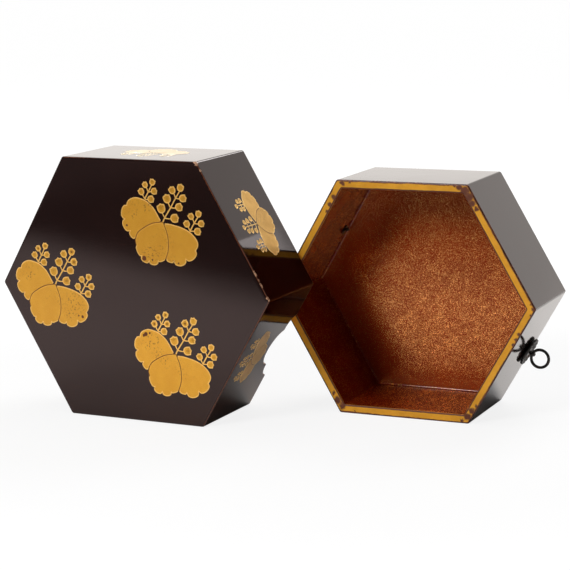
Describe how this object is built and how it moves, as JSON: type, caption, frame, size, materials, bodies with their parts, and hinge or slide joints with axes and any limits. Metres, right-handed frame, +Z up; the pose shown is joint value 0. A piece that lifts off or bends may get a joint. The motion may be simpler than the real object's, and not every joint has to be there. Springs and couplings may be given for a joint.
{
  "type": "hexagonal lidded lacquer box",
  "caption": "Hexagonal lacquer box and deep lid, both on a side, the lid taken off; rings in split pins on opposite walls, arched cut-outs in the lid rim.",
  "frame": {"origin": "on the surface that the pair stands on, under the middle of the pair's overall length and depth", "axes": "+Z up; +X from the lid towards the box; +Y from the box's mouth towards its base, so the lid's top and the box's mouth face -Y"},
  "size_m": [0.5336, 0.204, 0.2624],
  "materials": {
    "black_lacquer": "wood under polished black lacquer, with gold powder on the rims and in the paulownia sprigs",
    "gold_sprinkled_lacquer": "wood under red-brown lacquer with sprinkled gold flakes",
    "black_iron": "blackened, satin"
  },
  "bodies": {
    "box": {"box_base_board": "gold_sprinkled_lacquer", "box_wall_upper_right": "black_lacquer", "box_wall_top": "black_lacquer", "box_wall_upper_left": "black_lacquer", "box_wall_lower_left": "black_lacquer", "box_wall_bottom": "black_lacquer", "box_wall_lower_right": "black_lacquer", "right_flower_washer": "black_iron", "right_seat_washer": "black_iron", "right_split_pin": "black_iron", "right_inner_washer": "black_iron", "left_flower_washer": "black_iron", "left_seat_washer": "black_iron", "left_split_pin": "black_iron", "left_inner_washer": "black_iron"},
    "lid": {"lid_top_board": "black_lacquer", "lid_wall_upper_right": "black_lacquer", "lid_wall_top": "black_lacquer", "lid_wall_upper_left": "black_lacquer", "lid_wall_lower_left": "black_lacquer", "lid_wall_bottom": "black_lacquer", "lid_wall_lower_right": "black_lacquer"},
    "ring_right": {"right_ring": "black_iron"},
    "ring_left": {"left_ring": "black_iron"}
  },
  "joints": [
    {"name": "lid_lift", "type": "slide", "parent": "box", "child": "lid", "axis": [-0.0314, -0.9995, 0], "range_m": [0, 0.15]},
    {"name": "ring_right_swing", "type": "hinge", "parent": "box", "child": "ring_right", "pos_m": [0.23856, 0.08248, 0.05593], "axis": [0.5, 0, 0.866], "range_deg": [-94, 94]},
    {"name": "ring_left_swing", "type": "hinge", "parent": "box", "child": "ring_left", "pos_m": [0.02356, 0.08248, 0.18007], "axis": [-0.5, 0, -0.866], "range_deg": [0, 188]}
  ]
}
